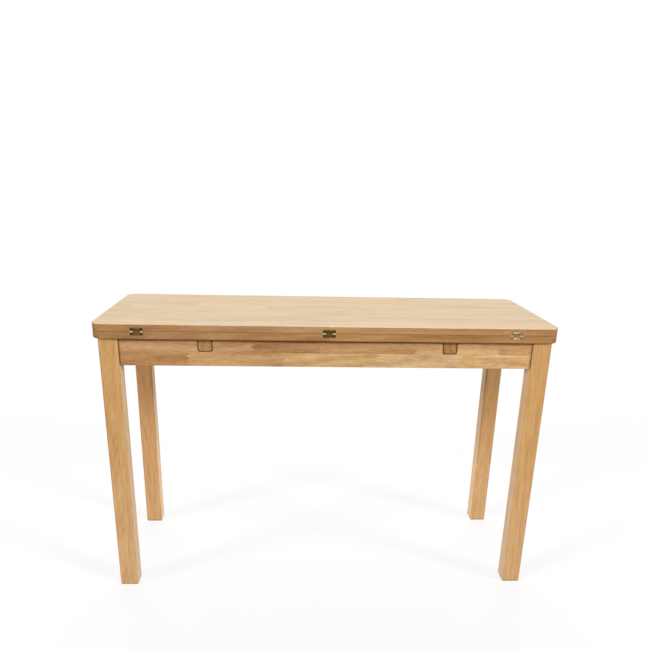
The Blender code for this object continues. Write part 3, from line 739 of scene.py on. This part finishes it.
# corner blocks with threaded hanger bolts and nuts
blockSet = {"thick": 0.022, "ease": 0.0008, "easeSteps": 3, "sharp": 30, "firstSeed": 100,
            "boltGap": 0.0003, "drillFrom": -0.03, "drillTo": 0.06, "drillSteps": 32}
nutSet = {"across": 0.013, "height": 0.0065, "nip": 0.0007, "cornerEase": 0.0003, "easeSteps": 2,
          "sharp": 70, "boreReach": 0.03, "boreSteps": 32}
boltSet = {"round": 0.004, "root": 0.00345, "steps": 32, "end": 0.014, "nip": 0.0008, "nipShare": 0.82,
           "shortOfLegMiddle": 0.012, "point": 0.008, "pointShare": 0.25,
           "pitch": 0.00125, "threadSteps": 20, "threadFrom": 0.0006, "threadFree": 0.010,
           "threadSink": 0.0001, "crestFrom": 0.42, "crestTo": 0.52, "threadTo": 0.94}
for seed, (corner, (sideX, sideY)) in enumerate(corners.items()):
    low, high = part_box("corner_block_" + corner)
    bm = addBox(startMesh(), low, high)
    outward = Vector((sideX, sideY, 0)).normalized()
    tip = Vector((high.x if sideX > 0 else low.x, high.y if sideY > 0 else low.y, low.z))
    inner = (Vector((low.x if sideX > 0 else high.x, tip.y, 0)) - Vector((tip.x, tip.y, 0))).length
    faceIn = outward.dot(tip) - inner / math.sqrt(2)
    for depth, way in ((faceIn, -1), (faceIn + blockSet["thick"], 1)):
        kept = bmesh.ops.bisect_plane(bm, geom=[*bm.verts, *bm.edges, *bm.faces], dist=meshSet["snap"],
                                      plane_co=outward * depth, plane_no=outward * way, clear_outer=True)
        rim = [e for e in kept["geom_cut"] if isinstance(e, bmesh.types.BMEdge)]
        bmesh.ops.contextual_create(bm, geom=rim)
    bmesh.ops.recalc_face_normals(bm, faces=bm.faces)
    easeEdges(bm, sharpEdges(bm, blockSet["sharp"]), blockSet["ease"], blockSet["easeSteps"], 1.0)
    nutLow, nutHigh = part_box("bolt_nut_" + corner)
    nutMid = (nutLow + nutHigh) / 2
    toNut = Matrix.Translation(nutMid) @ outward.to_track_quat("Z", "Y").to_matrix().to_4x4()
    hole = boltSet["round"] + blockSet["boltGap"]
    drill = drillBit(hole, blockSet["drillFrom"], blockSet["drillTo"], blockSet["drillSteps"], toNut)
    bm = carve(bm, drill)
    layStaves(bm, "z", blockSet["firstSeed"] + seed)
    addPiece(pieceName("cornerBlock", corner), bm, oak["z"], "frame",
             ["corner_block_" + corner])

    bm = startMesh()
    nutRound = nutSet["across"] / math.sqrt(3)
    bmesh.ops.create_cone(bm, cap_ends=True, segments=6, radius1=nutRound, radius2=nutRound,
                          depth=nutSet["height"])
    easeEdges(bm, [e for e in bm.edges if along(e, 2)], nutSet["cornerEase"], nutSet["easeSteps"], 1.0)
    easeEdges(bm, sharpEdges(bm, nutSet["sharp"]), nutSet["nip"], nutSet["easeSteps"], 1.0)
    bmesh.ops.transform(bm, matrix=toNut, verts=bm.verts)
    bore = drillBit(boltSet["round"], -nutSet["boreReach"], nutSet["boreReach"], nutSet["boreSteps"], toNut)
    bm = carve(bm, bore)
    addPiece(pieceName("boltNut", corner), bm, steel, "frame", ["bolt_nut_" + corner])

    legLow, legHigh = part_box("leg_" + corner)
    start = nutSet["height"] / 2 - boltSet["end"]
    stop = outward.dot((legLow + legHigh) / 2 - nutMid) - boltSet["shortOfLegMiddle"]
    core, crest = boltSet["root"], boltSet["round"]
    shaft = [(0, start), (core * boltSet["nipShare"], start), (core, start + boltSet["nip"]),
             (core, stop - boltSet["point"]), (core * boltSet["pointShare"], stop), (0, stop)]
    bm = turned(shaft, boltSet["steps"], Matrix.Identity(4))
    rise, sunk = boltSet["pitch"], core - boltSet["threadSink"]
    turns = int((stop - start - boltSet["threadFree"]) / rise)
    ridgeShape = ((sunk, 0), (crest, rise * boltSet["crestFrom"]), (crest, rise * boltSet["crestTo"]),
                  (sunk, rise * boltSet["threadTo"]))
    ridge = [bm.verts.new((r, 0, start + boltSet["threadFrom"] + h)) for r, h in ridgeShape]
    line = [bm.edges.new(pair) for pair in zip(ridge, ridge[1:])]
    bmesh.ops.spin(bm, geom=ridge + line, cent=(0, 0, 0), axis=(0, 0, 1), angle=2 * math.pi * turns,
                   steps=boltSet["threadSteps"] * turns, dvec=(0, 0, rise / boltSet["threadSteps"]),
                   use_merge=False)
    bmesh.ops.recalc_face_normals(bm, faces=bm.faces)
    bmesh.ops.transform(bm, matrix=toNut, verts=bm.verts)
    addPiece(pieceName("hangerBolt", corner), bm, steel, "frame", ["hanger_bolt_" + corner])
print("corner blocks made")

# concealed hinges: cups, link plates and countersunk cross-head screws
hingeSet = {
    "cupEase": 0.00014, "linkEase": 0.00022, "easeSteps": 2, "easeWear": 0.35, "sharp": 45, "flatLimit": 1,
    "halfSeam": 0.00015, "lip": 0.00165, "pocket": 0.0090,
    "facing": -0.7, "frontDepth": 0.0003, "pocketDepth": 0.0002,
    "screwOut": 0.01243, "screwUp": 0.00548, "seat": 0.0008, "screwSteps": 28, "screwLong": 0.0145,
    "headRound": 0.00262, "headDeep": 0.0012, "shankRound": 0.00142, "taperFrom": 0.7, "tipRound": 0.0002,
    "headShape": ((0.0, -0.00006), (0.7, -0.00003), (0.94, 0.00004), (1.0, 0.00016)),
    "slotWide": 0.00062, "slotLong": 0.0030, "slotDeep": 0.0009, "slotProud": 0.001, "slotTaper": 0.7,
    "twist": {"lower": 0.6, "upper": 1.0}, "twistApart": 0.3,
    # how bright each hinge's plate, pocket, links and screws are: partly wear, partly painted light, with
    # the right hinge painted brighter where it catches the light and the left and middle darker
    "hingeWearAndLight": {"left": {"plate": -0.50, "pocket": 0.32, "links": 0.0, "screws": -0.45},
               "middle": {"plate": -0.60, "pocket": 0.25, "links": -0.30, "screws": -0.50},
               "right": {"plate": 0.64, "pocket": 0.72, "links": 0.38, "screws": 0.40}},
}
hingeHalves = (("lower", "frame", "lower_links", 3), ("upper", "upper_leaf", "upper_links", 2))


def cadShape(nodes, ease):
    bm = startMesh()
    for node in nodes:
        part = bmesh.new()
        part.from_mesh(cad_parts[node].data)
        joinMesh(bm, part)
    bmesh.ops.remove_doubles(bm, verts=bm.verts, dist=meshSet["weld"])
    flat = math.radians(hingeSet["flatLimit"])
    bmesh.ops.dissolve_limit(bm, angle_limit=flat, verts=bm.verts, edges=bm.edges)
    easeEdges(bm, sharpEdges(bm, hingeSet["sharp"]), ease, hingeSet["easeSteps"], hingeSet["easeWear"])
    return bm


def frontFaces(bm, faceY):
    depth = faceY + hingeSet["frontDepth"]
    return [f for f in bm.faces if f.normal.y < hingeSet["facing"] and f.calc_center_median().y < depth]


def markCupWearAndLight(bm, midX, seam, faceY, hingeWearAndLight):
    layer = bm.faces.layers.float["edgeWearAndPaintedLight"]
    for way in (-1, 1):
        splitAt(bm, frontFaces(bm, faceY), 0, midX + way * hingeSet["pocket"])
        splitAt(bm, frontFaces(bm, faceY), 2, seam + way * hingeSet["lip"])
    for face in bm.faces:
        mid = face.calc_center_median()
        if mid.y > faceY + hingeSet["pocketDepth"]:  # inside the pocket or a screw seat
            face[layer] = hingeWearAndLight["pocket"] if abs(mid.x - midX) < hingeSet["pocket"] else -1.0
    for face in frontFaces(bm, faceY):
        mid = face.calc_center_median()
        onLip = abs(mid.z - seam) < hingeSet["lip"] and abs(mid.x - midX) > hingeSet["pocket"]
        face[layer] = 1.0 if onLip else hingeWearAndLight["plate"]
    return bm


def markAllWearAndLight(bm, level):
    layer = bm.faces.layers.float["edgeWearAndPaintedLight"]
    for face in bm.faces:
        face[layer] = level
    return bm


def makeScrew(spot, turn):
    head, shank = hingeSet["headRound"], hingeSet["shankRound"]
    deep, long = hingeSet["headDeep"], hingeSet["screwLong"]
    shape = [(head * share, h) for share, h in hingeSet["headShape"]]
    shape += [(shank, deep), (shank, long * hingeSet["taperFrom"]), (hingeSet["tipRound"], long), (0, long)]
    bm = turned(shape, hingeSet["screwSteps"], Matrix.Identity(4))
    half, reach, depth = hingeSet["slotWide"] / 2, hingeSet["slotLong"] / 2, hingeSet["slotDeep"]
    for armX, armY in ((half, reach), (reach, half)):
        tool = addBox(bmesh.new(), (-armX, -armY, -hingeSet["slotProud"]), (armX, armY, depth))
        foot = [v for v in tool.verts if v.co.z > 0]
        bmesh.ops.scale(tool, vec=(hingeSet["slotTaper"], hingeSet["slotTaper"], 1), verts=foot)
        bm = carve(bm, tool)
    bmesh.ops.transform(bm, matrix=Matrix.Translation(spot) @ turn, verts=bm.verts)
    return bm


intoLeaf = Matrix.Rotation(-math.pi / 2, 4, "X")
for hinge in hingeNames:
    base = "hinge_" + hinge
    for level, body, swing, count in hingeHalves:
        cup = f"{base}_{level}_cup"
        low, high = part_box(cup)
        midX = (low.x + high.x) / 2
        seam = high.z + hingeSet["halfSeam"] if level == "lower" else low.z - hingeSet["halfSeam"]
        hingeWearAndLight = hingeSet["hingeWearAndLight"][hinge]
        shell = markCupWearAndLight(cadShape([cup], hingeSet["cupEase"]), midX, seam, low.y, hingeWearAndLight)
        addPiece(pieceName(hinge, level, "cup"), shell, brass, body, [cup])
        links = [f"{base}_{level}_link_{k + 1}" for k in range(count)]
        bars = markAllWearAndLight(cadShape(links, hingeSet["linkEase"]), hingeWearAndLight["links"])
        addPiece(pieceName(hinge, level, "links"), bars, brass, swing, links)
        screwZ = seam + hingeSet["screwUp"] * (-1 if level == "lower" else 1)
        bm = startMesh()
        for way in (-1, 1):
            spot = (midX + way * hingeSet["screwOut"], low.y + hingeSet["seat"], screwZ)
            twist = Matrix.Rotation(hingeSet["twist"][level] + way * hingeSet["twistApart"], 4, "Z")
            joinMesh(bm, makeScrew(spot, intoLeaf @ twist))
        markAllWearAndLight(bm, hingeWearAndLight["screws"])
        addPiece(pieceName(hinge, level, "screws"), bm, brass, body)
    for pin in ("lower_pin", "upper_pin", "slide_pin"):
        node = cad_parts[f"{base}_{pin}"]
        node.data.materials.clear()
        node.data.materials.append(brass)
print("hinges made")

# pale floor, white surroundings and soft studio light
stageSet = {"floorSize": 60.0, "floorSteps": 96, "floorColour": (0.95, 0.95, 0.95), "floorRough": 0.9,
            "bounce": (0.40, 0.395, 0.39), "glow": 0.78, "lowSky": 0.06, "highSky": 0.55}
lightSet = {
    "left": {"from": (-0.797, -0.498, 0.342), "spread": 16, "power": 2.0},
    "right": {"from": (0.797, -0.498, 0.342), "spread": 16, "power": 2.2},
    "back": {"from": (0.0, 0.70, 0.714), "spread": 50, "power": 1.2},
}


def seenDirectly(tree):
    path = addNode(tree, "ShaderNodeLightPath")
    seen = calc(tree, "MAXIMUM", path.outputs["Is Camera Ray"], path.outputs["Is Glossy Ray"])
    return calc(tree, "MAXIMUM", seen, path.outputs["Is Transmission Ray"])


def mixShaders(tree, share, first, second):
    node = addNode(tree, "ShaderNodeMixShader")
    for k, source in enumerate((share, first, second)):
        feed(tree, node, k, source)
    return node.outputs[0]


floorMesh = bmesh.new()
bmesh.ops.create_circle(floorMesh, cap_ends=True, segments=stageSet["floorSteps"],
                        radius=stageSet["floorSize"])
floor = asObject("floor", floorMesh)
floorMat, tree, shader = startMaterial("paleFloor")
feed(tree, shader, "Base Color", (*stageSet["bounce"], 1))
feed(tree, shader, "Roughness", stageSet["floorRough"])
feed(tree, shader, "Specular IOR Level", 0.0)
pale = addNode(tree, "ShaderNodeBsdfDiffuse")
feed(tree, pale, "Color", (*stageSet["floorColour"], 1))
glow = addNode(tree, "ShaderNodeEmission")
paper = mixShaders(tree, stageSet["glow"], pale.outputs[0], glow.outputs[0])
floorLook = mixShaders(tree, seenDirectly(tree), shader.outputs[0], paper)
feed(tree, tree.nodes["Material Output"], 0, floorLook)
floor.data.materials.append(floorMat)

world = bpy.data.worlds.new("whiteRoom")
scene.world = world
world.use_nodes = True
tree = world.node_tree
sky = tree.nodes["Background"]
white = addNode(tree, "ShaderNodeBackground")
toSky = addNode(tree, "ShaderNodeSeparateXYZ")
feed(tree, toSky, 0, addNode(tree, "ShaderNodeTexCoord").outputs["Generated"])
feed(tree, sky, 1, remap(tree, toSky.outputs[2], 0.0, 1.0, stageSet["lowSky"], stageSet["highSky"]))
for node in (sky, white):
    feed(tree, node, 0, (1, 1, 1, 1))
roomLook = mixShaders(tree, seenDirectly(tree), sky.outputs[0], white.outputs[0])
feed(tree, tree.nodes["World Output"], 0, roomLook)

for name, lamp in lightSet.items():
    data = bpy.data.lights.new(name, "SUN")
    data.energy, data.angle = lamp["power"], math.radians(lamp["spread"])
    light = bpy.data.objects.new(name, data)
    scene.collection.objects.link(light)
    light.matrix_world = Vector(lamp["from"]).to_track_quat("Z", "Y").to_matrix().to_4x4()
print("stage and lights set")
